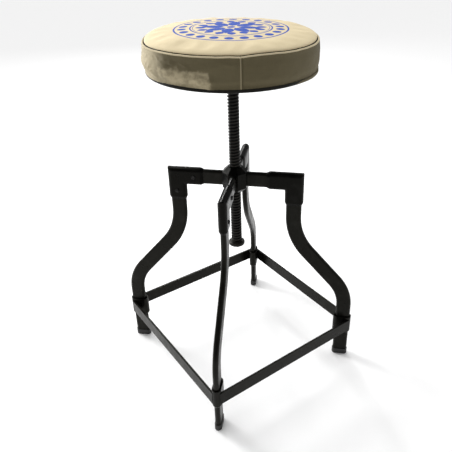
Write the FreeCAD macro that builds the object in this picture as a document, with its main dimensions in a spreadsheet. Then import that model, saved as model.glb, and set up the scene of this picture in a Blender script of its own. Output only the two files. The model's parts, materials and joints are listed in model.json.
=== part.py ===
import FreeCAD, Part
import math
import os
import re

import Sketcher
from FreeCAD import Placement, Rotation, Vector

# A machinist stool: four bent flat-oval legs, a bored hub that they hang from by arms and elbows,
# and a padded round seat on a coarse screw that turns in the hub.
# Millimetres. The floor is z 0, the screw stands on the z axis and one leg points along +x.

SIZES = {
    # flat-oval tube of the legs and arms
    "tube_width": 36.5,
    "tube_thickness": 13.5,
    "tube_wall": 2.0,
    # run of a leg: two straight uprights with a sloping run between them
    "leg_top_reach": 137.0,
    "leg_foot_reach": 272.0,
    "upper_corner_height": 355.0,
    "lower_corner_height": 201.0,
    "upper_bend": 145.0,
    "lower_bend": 110.0,
    # arms, and the elbows that join them to the legs
    "arm_height": 500.5,
    "elbow_wall": 3.5,
    "socket_gap": 0.15,
    "elbow_run": 63.5,
    "elbow_drop": 59.5,
    "elbow_throat_round": 4.0,
    "elbow_heel_round": 2.0,
    "mouth_bevel_length": 7.0,
    "mouth_bevel_depth": 3.0,
    "tube_end_gap": 1.0,
    # screws through the elbow into the tube
    "elbow_screw_inset": 23.5,
    "elbow_screw_radius": 2.5,
    "elbow_screw_length": 6.5,
    "elbow_screw_gap": 0.1,
    "elbow_head_radius": 4.75,
    "elbow_head_height": 2.6,
    "elbow_head_round": 1.6,
    "elbow_slot_width": 1.2,
    "elbow_slot_depth": 1.3,
    # hub
    "hub_half_width": 27.5,
    "hub_half_height": 19.0,
    "hub_neck_half_width": 15.5,
    "hub_flare_height": 12.0,
    # seat screw
    "pitch": 7.26,
    "thread_radius": 12.7,
    "thread_depth": 2.3,
    "thread_crest": 2.6,
    "thread_foot": 4.9,
    "thread_sink": 0.15,
    "thread_gap": 0.3,
    "stop_radius": 19.4,
    "stop_thickness": 8.0,
    "stop_round": 2.0,
    "stop_height": 323.0,
    "stop_journal_radius": 8.0,
    "stop_gap": 0.3,
    "stop_bolt_radius": 5.0,
    "stop_bolt_depth": 25.0,
    "stop_bolt_head": 6.0,
    "stop_bolt_head_across": 17.0,
    # footrest collars and bars
    "collar_low": 75.0,
    "collar_height": 51.0,
    "collar_wall": 3.0,
    "collar_side_gap": 0.75,
    "collar_outer_gap": 0.25,
    "collar_inner_gap": 2.25,
    "collar_bevel_length": 5.0,
    "collar_bevel_depth": 2.2,
    "collar_mouth_bevel": 1.4,
    "bar_low": 85.5,
    "bar_height": 32.0,
    "bar_thickness": 5.0,
    "bar_proud": 0.8,
    "bar_end_inset": 1.0,
    "weld_gap": 0.1,
    # foot caps
    "cap_height": 16.0,
    "cap_floor": 3.0,
    "cap_wall": 1.4,
    "cap_gap": 0.1,
    "cap_round": 1.5,
    # seat
    "seat_floor": 752.0,
    "pan_radius": 176.8,
    "pan_wall": 1.5,
    "pan_rim_height": 7.0,
    "pan_corner": 3.0,
    "cloth": 1.2,
    "hem_width": 22.0,
    "band_height": 59.5,
    "band_bow": 220.0,
    "seam_radius": 177.0,
    "seam_edge": 1.4,
    "seam_bow": 4.2,
    "groove_radius": 170.0,
    "groove_rise": 2.7,
    "crown_rise": 20.0,
    "crown_reach": 145.0,
    "crown_drop": 7.2,
    "shoulder_bow": 38.0,
    "foam_gap": 0.3,
    "board_thickness": 12.0,
    # what holds the seat on the screw
    "flange_radius": 62.0,
    "flange_thickness": 5.0,
    "flange_boss_radius": 20.0,
    "flange_boss_height": 14.0,
    "spigot_radius": 10.0,
    "seat_bolt_circle": 45.0,
    "seat_bolt_radius": 4.0,
    "seat_bolt_gap": 0.3,
    "seat_bolt_head": 5.3,
    "seat_bolt_head_across": 13.0,
    "nut_barrel_radius": 5.2,
    "nut_flange_radius": 10.5,
    "nut_flange": 1.6,
    "nut_length": 10.0,
}

# A quarter turn apart: the leg, arm, elbow, collar and foot cap of each side
SIDES = {"right": 0, "rear": 90, "left": 180, "front": 270}
BARS = {"rear_right": 45, "rear_left": 135, "front_left": 225, "front_right": 315}

UP = Vector(0, 0, 1)

document = FreeCAD.newDocument("machinist_stool")
sheet = document.addObject("Spreadsheet::Sheet", "sizes")
for row, (name, value) in enumerate(SIZES.items(), 1):
    sheet.set(f"A{row}", name)
    sheet.set(f"B{row}", str(value))
    sheet.setAlias(f"B{row}", name)
document.recompute()

sub_parts = []


def bound(text):
    """The expression with each size named as a cell of the sheet."""
    return re.sub(r"[a-z][a-z_]*", lambda word: "sizes." + word[0] if word[0] in SIZES else word[0], text)


def size(text):
    """The value of an expression of sizes."""
    return float(sheet.evalExpression(bound(text)))


def tie(thing, expressions):
    """Bind properties of a document object to expressions of sizes."""
    for place, text in expressions.items():
        thing.setExpression(place, bound(text))


def keep(thing, label):
    """Name a finished piece and list it for writing."""
    thing.Label = label
    sub_parts.append(thing)
    return thing


# Derived measures, as expressions of the sizes

ELBOW_WIDTH = "(tube_width + 2 * elbow_wall)"
ELBOW_THICKNESS = "(tube_thickness + 2 * elbow_wall)"
SOCKET_WIDTH = "(tube_width + 2 * socket_gap)"
SOCKET_THICKNESS = "(tube_thickness + 2 * socket_gap)"
ARM_END = "(leg_top_reach - tube_width / 2 - tube_end_gap)"
LEG_END = "(arm_height - tube_width / 2 - tube_end_gap)"
ELBOW_FACE = f"({ELBOW_THICKNESS} / 2)"
ELBOW_MOUTH = "(arm_height - elbow_drop)"
ELBOW_REACH = "(leg_top_reach - elbow_run)"
ARM_SCREW_REACH = f"({ELBOW_REACH} + elbow_screw_inset)"
LEG_SCREW_HEIGHT = f"({ELBOW_MOUTH} + elbow_screw_inset)"
SCREW_HOLE = "(elbow_screw_radius + elbow_screw_gap)"

COLLAR_OUTER = "(leg_foot_reach + tube_width / 2 + collar_outer_gap + collar_wall)"
COLLAR_WIDTH = "(tube_width + collar_outer_gap + collar_inner_gap + 2 * collar_wall)"
COLLAR_THICKNESS = "(tube_thickness + 2 * collar_side_gap + 2 * collar_wall)"
COLLAR_MIDDLE = f"({COLLAR_OUTER} - {COLLAR_WIDTH} / 2)"
COLLAR_END_CENTRE = f"({COLLAR_OUTER} - {COLLAR_THICKNESS} / 2)"

THREAD_LOW = "(stop_height + stop_thickness + stop_gap)"
THREAD_HIGH = "(seat_floor - flange_thickness - flange_boss_height)"
BOLT_FACE = "(stop_height - stop_gap)"
HUB_REACH = "(hub_half_height + hub_flare_height)"

CLOTH_RADIUS = "(pan_radius - pan_wall)"
BOARD_RADIUS = f"({CLOTH_RADIUS} - cloth)"
BOARD_LOW = "(seat_floor + pan_wall + cloth)"
BOARD_HIGH = f"({BOARD_LOW} + board_thickness)"
SEAM = "(seat_floor + band_height + foam_gap)"
GROOVE = f"({SEAM} + groove_rise)"
CROWN = f"({GROOVE} + crown_rise)"
CROWN_BOW = "((crown_reach ^ 2 + crown_drop ^ 2) / (2 * crown_drop))"
UNDER_TOP = "(cloth + foam_gap)"


class Drawing:
    """A sketch on an origin plane of its own body, with every size tied to the sheet."""

    def __init__(self, body, name, plane, offset="0"):
        self.sketch = body.newObject("Sketcher::SketchObject", name)
        support = next(f for f in body.Origin.OriginFeatures if f.Role == plane)
        self.sketch.AttachmentSupport = [(support, "")]
        self.sketch.MapMode = "FlatFace"
        tie(self.sketch, {".AttachmentOffset.Base.z": offset})

    def add(self, shape, helper=False):
        return self.sketch.addGeometry(shape, helper)

    def hold(self, *constraint):
        return self.sketch.addConstraint(Sketcher.Constraint(*constraint))

    def measure(self, text, kind, *where):
        number = self.hold(kind, *where, size(text))
        tie(self.sketch, {f"Constraints[{number}]": text})

    def pin(self, edge, end, x, y):
        self.measure(x, "DistanceX", -1, 1, edge, end)
        self.measure(y, "DistanceY", -1, 1, edge, end)

    def circle(self, radius, x="0", y="0"):
        edge = self.add(Part.Circle(Vector(size(x), size(y), 0), UP, size(radius)))
        self.measure(radius, "Radius", edge)
        self.pin(edge, 3, x, y)

    def outline(self, points, bows=None):
        """A closed loop through points. bows maps an edge's number to its radius and its centre's side:
        1 to the left of the way along the loop, -1 to the right."""
        bows = bows or {}
        places = [Vector(size(x), size(y), 0) for x, y in points]
        edges = []
        for number, here in enumerate(places):
            there = places[(number + 1) % len(places)]
            if number not in bows:
                edges.append((self.add(Part.LineSegment(here, there)), 1, 2))
                continue
            radius, side = bows[number]
            half = (there - here) * 0.5
            rise = math.sqrt(size(radius) ** 2 - half.Length**2)
            centre = here + half + Vector(-half.y, half.x, 0).normalize() * rise * side
            start, stop = (here, there) if side > 0 else (there, here)
            edge = self.add(arc_about(centre, start, stop, size(radius)))
            edges.append((edge, 1, 2) if side > 0 else (edge, 2, 1))
        for number, (edge, first, last) in enumerate(edges):
            after, after_first, _ = edges[(number + 1) % len(edges)]
            self.hold("Coincident", edge, last, after, after_first)
            self.pin(edge, first, *points[number])
            if number in bows:
                self.measure(bows[number][0], "Radius", edge)

    def oval(self, width, thickness, x="0", y="0", tall=False):
        """A flat oval: straight sides and half-round ends, its width along x, or along y where tall."""
        radius = size(thickness) / 2
        along = Vector(0, 1, 0) if tall else Vector(1, 0, 0)
        across = UP.cross(along)
        middle = Vector(size(x), size(y), 0)
        reach = along * (size(width) / 2 - radius)
        near, far = middle + reach, middle - reach
        ends = [
            self.add(arc_about(near, near - across * radius, near + across * radius, radius)),
            self.add(Part.LineSegment(near + across * radius, far + across * radius)),
            self.add(arc_about(far, far + across * radius, far - across * radius, radius)),
            self.add(Part.LineSegment(far - across * radius, near - across * radius)),
        ]
        for first, second in zip(ends, ends[1:] + ends[:1]):
            self.hold("Tangent", first, 2, second, 1)
        for side in (ends[1], ends[3]):
            self.hold("Vertical" if tall else "Horizontal", side)
        half = f"({width} - {thickness}) / 2"
        self.measure(f"{thickness} / 2", "Radius", ends[0])
        if tall:
            self.pin(ends[0], 3, x, f"{y} + {half}")
            self.measure(f"{y} - {half}", "DistanceY", -1, 1, ends[2], 3)
        else:
            self.pin(ends[0], 3, f"{x} + {half}", y)
            self.measure(f"{x} - {half}", "DistanceX", -1, 1, ends[2], 3)

    def route(self, points, radii=()):
        """Straight runs through points, rounded at the inner points where radii are given."""
        places = [Vector(size(x), size(y), 0) for x, y in points]
        runs, bends = [], []
        start = places[0]
        for number, corner in enumerate(places[1:-1]):
            into = (corner - places[number]).normalize()
            out = (places[number + 2] - corner).normalize()
            radius = size(radii[number]) if radii else 0
            back = radius * math.tan(into.getAngle(out) / 2)
            runs.append(self.add(Part.LineSegment(start, corner - into * back)))
            if radii:
                side = math.copysign(1, into.cross(out).z)
                centre = corner - into * back + UP.cross(into) * radius * side
                ends = [corner - into * back, corner + out * back]
                order = (1, 2) if side > 0 else (2, 1)
                bend = self.add(arc_about(centre, *ends[:: int(side)], radius))
                bends.append((bend, *order))
            start = corner + out * back
        runs.append(self.add(Part.LineSegment(start, places[-1])))
        self.pin(runs[0], 1, *points[0])
        self.pin(runs[-1], 2, *points[-1])
        for number, corner in enumerate(points[1:-1]):
            before, after = runs[number], runs[number + 1]
            if not radii:
                self.hold("Coincident", before, 2, after, 1)
                self.pin(before, 2, *corner)
                continue
            bend, first, last = bends[number]
            self.hold("Tangent", before, 2, bend, first)
            self.hold("Tangent", bend, last, after, 1)
            self.measure(radii[number], "Radius", bend)
            mark = self.add(Part.Point(places[number + 1]), True)
            self.pin(mark, 1, *corner)
            self.hold("PointOnObject", mark, 1, before)
            self.hold("PointOnObject", mark, 1, after)


def arc_about(centre, start, stop, radius):
    """The arc from start to stop, anticlockwise about a centre."""
    angles = [math.atan2(p.y - centre.y, p.x - centre.x) for p in (start, stop)]
    return Part.ArcOfCircle(Part.Circle(centre, UP, radius), *angles)


def new_body(label, turn=0, height="0"):
    """An empty body, turned about the screw's axis and raised to a height."""
    body = document.addObject("PartDesign::Body", label)
    body.Placement = Placement(Vector(0, 0, size(height)), Rotation(UP, turn))
    tie(body, {".Placement.Base.z": height})
    return keep(body, label)


def pad(body, drawing, length, both_ways=False):
    feature = body.newObject("PartDesign::Pad", drawing.sketch.Name + "_pad")
    feature.Profile = drawing.sketch
    feature.SideType = "Symmetric" if both_ways else "One side"
    tie(feature, {"Length": length})
    document.recompute()
    return feature


def pocket(body, drawing, length, backwards=False):
    """Cut a pocket, and make sure that it took material away."""
    before = body.Shape.Volume
    feature = body.newObject("PartDesign::Pocket", drawing.sketch.Name + "_pocket")
    feature.Profile = drawing.sketch
    feature.Reversed = backwards
    tie(feature, {"Length": length})
    document.recompute()
    if body.Shape.Volume >= before:
        raise ValueError(feature.Name + " cuts nothing")
    return feature


def pipe(body, profile, path, transition="Transformed"):
    feature = body.newObject("PartDesign::AdditivePipe", profile.sketch.Name + "_pipe")
    feature.Profile = profile.sketch
    feature.Spine = (path.sketch, [f"Edge{n + 1}" for n in range(len(path.sketch.Shape.Edges))])
    feature.Transition = transition
    document.recompute()
    return feature


def turned(label, points, bows=None):
    """A body turned about the screw's axis from an outline of radius and height."""
    body = new_body(label)
    drawing = Drawing(body, label + "_outline", "XZ_Plane")
    drawing.outline(points, bows)
    feature = body.newObject("PartDesign::Revolution", label + "_turn")
    feature.Profile = drawing.sketch
    feature.ReferenceAxis = (drawing.sketch, ["V_Axis"])
    feature.Angle = 360
    document.recompute()
    return body


def edges_of(feature, chosen):
    """The names of a feature's edges whose ends and middle all pass a test."""
    names = []
    for number, edge in enumerate(feature.Shape.Edges, 1):
        middle = edge.valueAt((edge.FirstParameter + edge.LastParameter) / 2)
        if all(chosen(p) for p in [middle] + [v.Point for v in edge.Vertexes]):
            names.append(f"Edge{number}")
    return names


def tapered_end(body, drawing, length, depth, backwards=False):
    """Draw a section in by a depth over a length, as a long bevel round the end of a piece."""
    feature = body.newObject("PartDesign::Pad", drawing.sketch.Name + "_bevel")
    feature.Profile = drawing.sketch
    feature.Reversed = backwards
    tie(feature, {"Length": length, "TaperAngle": f"-1 * atan({depth} / {length})"})
    document.recompute()
    return feature


def dress(kind, body, chosen, measure, text):
    """Fillet or bevel the edges of the body that pass a test."""
    base = body.Tip
    edges = edges_of(base, chosen)
    feature = body.newObject("PartDesign::" + kind, f"{body.Name}_{kind.lower()}")
    feature.Base = (base, edges)
    tie(feature, {measure: text})
    document.recompute()


def cylinder(name, radius, low, high):
    """A plain cylinder on the z axis, between two heights."""
    rod = document.addObject("Part::Cylinder", name)
    tie(rod, {"Radius": radius, "Height": f"{high} - {low}", ".Placement.Base.z": low})
    return rod


def boolean(kind, name, base, tool):
    thing = document.addObject("Part::" + kind, name)
    thing.Base, thing.Tool = base, tool
    return thing


def near(value, text):
    return abs(value - size(text)) < 1e-4


# Seat screw and hub


def thread_ridge(turns):
    """The ridge of the thread over whole turns, upwards from the xy plane."""
    lead, crest = size("pitch"), size("thread_radius")
    inner = size("thread_radius - thread_depth - thread_sink")
    slope = (size("thread_foot") - size("thread_crest")) / 2 / size("thread_depth")
    crest_half = size("thread_crest") / 2
    foot_half = crest_half + slope * (crest - inner)
    corners = [(inner, -foot_half), (crest, -crest_half), (crest, crest_half), (inner, foot_half)]
    section = Part.makePolygon([Vector(r, 0, z) for r, z in corners + corners[:1]])
    sweep = Part.BRepOffsetAPI.MakePipeShell(Part.Wire(Part.makeHelix(lead, turns * lead, inner).Edges))
    sweep.setBiNormalMode(UP)
    sweep.add(Part.Wire(section.Edges), False, False)
    sweep.build()
    sweep.makeSolid()
    return sweep.shape()


def threaded_rod(name, low, high):
    """A rod with a coarse square-shouldered thread between two heights."""
    lead, root, crest = size("pitch"), size("thread_radius - thread_depth"), size("thread_radius")
    turns = math.ceil(size(f"({high}) - ({low})") / lead) + 3
    stretches = math.ceil(turns / 40)
    stretch = math.ceil(turns / stretches)
    start = (size(low) + size(high) - stretches * stretch * lead) / 2
    ridge = thread_ridge(stretch)
    ridges = []
    for number in range(stretches):
        ridges.append(ridge.copy())
        ridges[-1].Placement = Placement(
            UP * (start + number * stretch * lead), Rotation(UP, 360 * start / lead)
        )
    core = Part.makeCylinder(root, (stretches * stretch + 2) * lead, UP * (start - lead))
    rod = document.addObject("Part::Feature", name)
    whole = core.fuse(ridges)
    rod.Shape = whole.common(Part.makeCylinder(2 * crest, size(f"({high}) - ({low})"), UP * size(low)))
    return rod


def make_spindle():
    """The seat screw, with a spigot for the seat's flange and a journal for the stop washer."""
    thread = threaded_rod("spindle_thread", THREAD_LOW, THREAD_HIGH)
    spigot = cylinder("spindle_spigot", "spigot_radius", THREAD_HIGH, "seat_floor")
    journal = cylinder("spindle_journal", "stop_journal_radius", BOLT_FACE, THREAD_LOW)
    whole = document.addObject("Part::MultiFuse", "spindle_whole")
    whole.Shapes = [thread, spigot, journal]
    hole = cylinder("spindle_hole", "stop_bolt_radius", BOLT_FACE, f"({BOLT_FACE} + stop_bolt_depth)")
    keep(boolean("Cut", "screw_spindle", whole, hole), "screw_spindle")


def hexagon(name, across, low, high):
    head = document.addObject("Part::Prism", name)
    head.Polygon = 6
    tie(head, {"Circumradius": f"{across} / sqrt(3)", "Height": f"{high} - {low}", ".Placement.Base.z": low})
    return head


def make_stop():
    """The washer that stops the screw under the hub, and the bolt that holds it."""
    journal = "(stop_journal_radius + stop_gap)"
    washer = turned(
        "stop_washer",
        [
            (journal, "stop_height"),
            ("stop_radius - stop_round", "stop_height"),
            ("stop_radius", "stop_height + stop_round"),
            ("stop_radius", "stop_height + stop_thickness - stop_round"),
            ("stop_radius - stop_round", "stop_height + stop_thickness"),
            (journal, "stop_height + stop_thickness"),
        ],
        {1: ("stop_round", 1), 3: ("stop_round", 1)},
    )
    head = hexagon("stop_bolt_hexagon", "stop_bolt_head_across", f"({BOLT_FACE} - stop_bolt_head)", BOLT_FACE)
    shank = cylinder("stop_bolt_shank", "stop_bolt_radius", BOLT_FACE, f"({BOLT_FACE} + stop_bolt_depth)")
    keep(boolean("Fuse", "stop_bolt", head, shank), "stop_bolt")
    return washer


def octagon(half):
    """The corners of a regular octagon with a flat towards each arm, given half its width."""
    near_corner, far_corner = f"({half} * (sqrt(2) - 1))", half
    corners = [(far_corner, near_corner), (near_corner, far_corner)]
    points = []
    for sign_x, sign_y in ((1, 1), (-1, 1), (-1, -1), (1, -1)):
        pair = corners if sign_x == sign_y else corners[::-1]
        points += [(f"{sign_x} * {x}", f"{sign_y} * {y}") for x, y in pair]
    return points


def make_hub():
    """The cast hub: an eight-sided block that flares in to a neck above and below, bored right through."""
    blank = document.addObject("PartDesign::Body", "hub_blank")
    tie(blank, {".Placement.Base.z": "arm_height"})
    block = Drawing(blank, "hub_block", "XY_Plane")
    block.outline(octagon("hub_half_width"))
    pad(blank, block, "2 * hub_half_height", both_ways=True)
    root = Drawing(blank, "hub_flare_root", "XY_Plane", "hub_half_height")
    root.outline(octagon("hub_half_width"))
    neck = Drawing(blank, "hub_flare_neck", "XY_Plane", HUB_REACH)
    neck.outline(octagon("hub_neck_half_width"))
    flare = blank.newObject("PartDesign::AdditiveLoft", "hub_flare")
    flare.Profile = root.sketch
    flare.Sections = [neck.sketch]
    flare.Ruled = True
    document.recompute()
    mirror = blank.newObject("PartDesign::Mirrored", "hub_lower_flare")
    mirror.Originals = [flare]
    mirror.MirrorPlane = (next(f for f in blank.Origin.OriginFeatures if f.Role == "XY_Plane"), [""])
    blank.Tip = mirror
    document.recompute()
    low, high = f"(arm_height - {HUB_REACH})", f"(arm_height + {HUB_REACH})"
    space = cylinder("hub_bore", "(thread_radius + thread_gap)", low, high)
    keep(boolean("Cut", "hub", blank, space), "hub")


# Frame: arms, elbows, legs, collars, bars and caps


def screw_hole(body, reach, height):
    """A hole for an elbow screw, through the wall on the body's +y side only."""
    drawing = Drawing(body, body.Name + "_hole", "XZ_Plane")
    drawing.circle(SCREW_HOLE, reach, height)
    pocket(body, drawing, f"{ELBOW_FACE} + elbow_head_height")


def make_arm(side, turn):
    body = new_body("arm_" + side, turn)
    section = Drawing(body, f"arm_{side}_section", "YZ_Plane", "hub_half_width")
    section.oval("tube_width", "tube_thickness", y="arm_height", tall=True)
    section.oval(
        "(tube_width - 2 * tube_wall)", "(tube_thickness - 2 * tube_wall)", y="arm_height", tall=True
    )
    pad(body, section, f"{ARM_END} - hub_half_width")
    screw_hole(body, ARM_SCREW_REACH, "arm_height")


def make_elbow(side, turn):
    """The elbow: a flat-oval socket fitting, square outside, with a bevelled mouth for each tube."""
    body = new_body("elbow_" + side, turn)
    bevel_height = f"({ELBOW_MOUTH} + mouth_bevel_length)"
    bevel_reach = f"({ELBOW_REACH} + mouth_bevel_length)"
    section = Drawing(body, f"elbow_{side}_section", "XY_Plane", bevel_height)
    section.oval(ELBOW_WIDTH, ELBOW_THICKNESS, x="leg_top_reach")
    path = Drawing(body, f"elbow_{side}_path", "XZ_Plane")
    path.route(
        [("leg_top_reach", bevel_height), ("leg_top_reach", "arm_height"), (bevel_reach, "arm_height")]
    )
    document.recompute()
    pipe(body, section, path, "Right corner")
    mouth = Drawing(body, f"elbow_{side}_leg_mouth", "XY_Plane", bevel_height)
    mouth.oval(ELBOW_WIDTH, ELBOW_THICKNESS, x="leg_top_reach")
    tapered_end(body, mouth, "mouth_bevel_length", "mouth_bevel_depth", backwards=True)
    mouth = Drawing(body, f"elbow_{side}_arm_mouth", "YZ_Plane", bevel_reach)
    mouth.oval(ELBOW_WIDTH, ELBOW_THICKNESS, y="arm_height", tall=True)
    tapered_end(body, mouth, "mouth_bevel_length", "mouth_bevel_depth", backwards=True)
    lower = Drawing(body, f"elbow_{side}_leg_socket", "XY_Plane", ELBOW_MOUTH)
    lower.oval(SOCKET_WIDTH, SOCKET_THICKNESS, x="leg_top_reach")
    pocket(body, lower, f"{LEG_END} + socket_gap - {ELBOW_MOUTH}", backwards=True)
    inner = Drawing(body, f"elbow_{side}_arm_socket", "YZ_Plane", ELBOW_REACH)
    inner.oval(SOCKET_WIDTH, SOCKET_THICKNESS, y="arm_height", tall=True)
    pocket(body, inner, f"{ARM_END} + socket_gap - {ELBOW_REACH}", backwards=True)
    screw_hole(body, ARM_SCREW_REACH, "arm_height")
    screw_hole(body, "leg_top_reach", LEG_SCREW_HEIGHT)
    mitre = size("leg_top_reach - arm_height")

    def on_throat(p):
        return abs(p.x - p.z - mitre) < 1e-4 and p.x < size("leg_top_reach")

    def on_heel(p):
        return abs(p.x - p.z - mitre) < 1e-4 and p.x > size("leg_top_reach")

    dress("Fillet", body, on_throat, "Radius", "elbow_throat_round")
    dress("Fillet", body, on_heel, "Radius", "elbow_heel_round")


def make_leg(side, turn):
    body = new_body("leg_" + side, turn)
    section = Drawing(body, f"leg_{side}_section", "XY_Plane", "cap_floor")
    section.oval("tube_width", "tube_thickness", x="leg_foot_reach")
    section.oval(
        "(tube_width - 2 * tube_wall)", "(tube_thickness - 2 * tube_wall)", x="leg_foot_reach"
    )
    path = Drawing(body, f"leg_{side}_path", "XZ_Plane")
    path.route(
        [
            ("leg_foot_reach", "cap_floor"),
            ("leg_foot_reach", "lower_corner_height"),
            ("leg_top_reach", "upper_corner_height"),
            ("leg_top_reach", LEG_END),
        ],
        ["lower_bend", "upper_bend"],
    )
    document.recompute()
    pipe(body, section, path)
    screw_hole(body, "leg_top_reach", LEG_SCREW_HEIGHT)


def make_collar(side, turn):
    """The collar that a leg passes through and the foot bars are welded to."""
    body = new_body("collar_" + side, turn)
    bevel_height = "(collar_low + collar_bevel_length)"
    ring = Drawing(body, f"collar_{side}_ring", "XY_Plane", bevel_height)
    ring.oval(COLLAR_WIDTH, COLLAR_THICKNESS, x=COLLAR_MIDDLE)
    pad(body, ring, "collar_height - collar_bevel_length")
    lower = Drawing(body, f"collar_{side}_lower", "XY_Plane", bevel_height)
    lower.oval(COLLAR_WIDTH, COLLAR_THICKNESS, x=COLLAR_MIDDLE)
    tapered_end(body, lower, "collar_bevel_length", "collar_bevel_depth", backwards=True)
    bore = Drawing(body, f"collar_{side}_bore", "XY_Plane", "collar_low")
    bore.oval(
        f"({COLLAR_WIDTH} - 2 * collar_wall)", f"({COLLAR_THICKNESS} - 2 * collar_wall)", x=COLLAR_MIDDLE
    )
    pocket(body, bore, "collar_height", backwards=True)
    middle = size(COLLAR_MIDDLE)
    reach = size(f"{COLLAR_WIDTH} / 2 - collar_wall")
    rise = size(f"{COLLAR_THICKNESS} / 2 - collar_wall")

    def in_bore(p):
        inside = abs(p.x - middle) < reach + 0.01 and abs(p.y) < rise + 0.01
        return inside and near(p.z, "collar_low + collar_height")

    dress("Chamfer", body, in_bore, "Size", "collar_mouth_bevel")


def make_foot_cap(side, turn):
    body = new_body("foot_cap_" + side, turn)
    outside = Drawing(body, f"foot_cap_{side}_outside", "XY_Plane")
    outside.oval(
        "(tube_width + 2 * cap_gap + 2 * cap_wall)",
        "(tube_thickness + 2 * cap_gap + 2 * cap_wall)",
        x="leg_foot_reach",
    )
    pad(body, outside, "cap_height")
    dress("Fillet", body, lambda p: near(p.z, "0"), "Radius", "cap_round")
    inside = Drawing(body, f"foot_cap_{side}_inside", "XY_Plane", "cap_floor")
    inside.oval("(tube_width + 2 * cap_gap)", "(tube_thickness + 2 * cap_gap)", x="leg_foot_reach")
    pocket(body, inside, "cap_height - cap_floor", backwards=True)


def make_foot_bar(name, turn):
    """A flat bar on edge, laid against the round outer ends of two neighbouring collars."""
    body = new_body("foot_bar_" + name, turn)
    drawing = Drawing(body, f"foot_bar_{name}_plan", "XY_Plane", "bar_low")
    centre = f"({COLLAR_END_CENTRE} / sqrt(2))"
    end_radius = f"({COLLAR_THICKNESS} / 2 + weld_gap)"
    outer = f"({centre} + {COLLAR_THICKNESS} / 2 + bar_proud)"
    inner = f"({outer} - bar_thickness)"
    tip = f"({centre} - bar_end_inset)"
    tip_depth = f"({centre} + sqrt({end_radius} ^ 2 - bar_end_inset ^ 2))"
    heel = f"({centre} - sqrt({end_radius} ^ 2 - ({inner} - {centre}) ^ 2))"
    drawing.outline(
        [
            (outer, f"-1 * {tip}"),
            (outer, tip),
            (tip_depth, tip),
            (inner, heel),
            (inner, f"-1 * {heel}"),
            (tip_depth, f"-1 * {tip}"),
        ],
        {2: (end_radius, -1), 4: (end_radius, -1)},
    )
    pad(body, drawing, "bar_height")


def make_elbow_screws():
    """Two slotted round-head screws in each elbow, on the face to the left of the way out."""
    screws = []
    for side, turn in SIDES.items():
        cosine, sine = round(math.cos(math.radians(turn))), round(math.sin(math.radians(turn)))
        for place, reach, height in (
            ("arm", ARM_SCREW_REACH, "arm_height"),
            ("leg", "leg_top_reach", LEG_SCREW_HEIGHT),
        ):
            name = f"{place}_screw_{side}"
            head = cylinder(name + "_blank", "elbow_head_radius", "0", "elbow_head_height")
            document.recompute()
            rounded = document.addObject("Part::Fillet", name + "_head")
            rounded.Base = head
            rims = enumerate(head.Shape.Edges, 1)
            top = next(n for n, e in rims if near(e.CenterOfMass.z, "elbow_head_height"))
            rounded.Edges = [(top, size("elbow_head_round"), size("elbow_head_round"))]
            slot = document.addObject("Part::Box", name + "_slot")
            tie(
                slot,
                {
                    "Length": "2 * elbow_head_radius",
                    "Width": "elbow_slot_width",
                    "Height": "elbow_slot_depth",
                    ".Placement.Base.x": "-1 * elbow_head_radius",
                    ".Placement.Base.y": "-1 * elbow_slot_width / 2",
                    ".Placement.Base.z": "elbow_head_height - elbow_slot_depth",
                },
            )
            slotted = boolean("Cut", name + "_slotted", rounded, slot)
            shank = cylinder(name + "_shank", "elbow_screw_radius", "(-1 * elbow_screw_length)", "0")
            screw = boolean("Fuse", name, slotted, shank)
            screw.Placement = Placement(Vector(), Rotation(UP, turn) * Rotation(Vector(1, 0, 0), -90))
            tie(
                screw,
                {
                    ".Placement.Base.x": f"{cosine} * {reach} - {sine} * {ELBOW_FACE}",
                    ".Placement.Base.y": f"{sine} * {reach} + {cosine} * {ELBOW_FACE}",
                    ".Placement.Base.z": height,
                },
            )
            screws.append(screw)
    group = document.addObject("Part::Compound", "elbow_screws")
    group.Links = screws
    keep(group, "elbow_screws")


# Seat


def bolt_places():
    return [("seat_bolt_circle", "0"), ("0", "seat_bolt_circle"), ("-1 * seat_bolt_circle", "0"),
            ("0", "-1 * seat_bolt_circle")]


def drill(body, name, radius, low, depth):
    """Four holes on the seat's bolt circle, cut upwards from a height."""
    drawing = Drawing(body, f"{body.Name}_{name}", "XY_Plane", low)
    for x, y in bolt_places():
        drawing.circle(radius, x, y)
    pocket(body, drawing, depth, backwards=True)


def make_pan():
    """The pressed steel pan under the seat, whose rim shows below the cover."""
    floor_top = "(seat_floor + pan_wall)"
    rim = "(seat_floor + pan_rim_height)"
    body = turned(
        "seat_pan",
        [
            ("0", "seat_floor"),
            ("pan_radius - pan_corner", "seat_floor"),
            ("pan_radius", "seat_floor + pan_corner"),
            ("pan_radius", rim),
            (CLOTH_RADIUS, rim),
            (CLOTH_RADIUS, "(seat_floor + pan_corner)"),
            ("(pan_radius - pan_corner)", floor_top),
            ("0", floor_top),
        ],
        {1: ("pan_corner", 1), 5: ("(pan_corner - pan_wall)", -1)},
    )
    drill(body, "holes", "(seat_bolt_radius + seat_bolt_gap)", "seat_floor", "pan_wall")


def make_board():
    body = new_body("seat_board")
    plan = Drawing(body, "seat_board_plan", "XY_Plane", BOARD_LOW)
    plan.circle(f"({BOARD_RADIUS} - foam_gap)")
    pad(body, plan, "board_thickness")
    drill(body, "holes", "(nut_barrel_radius + seat_bolt_gap)", BOARD_LOW, "board_thickness")
    drill(
        body, "sinks", "(nut_flange_radius + seat_bolt_gap)", f"({BOARD_HIGH} - nut_flange)", "nut_flange"
    )


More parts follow.
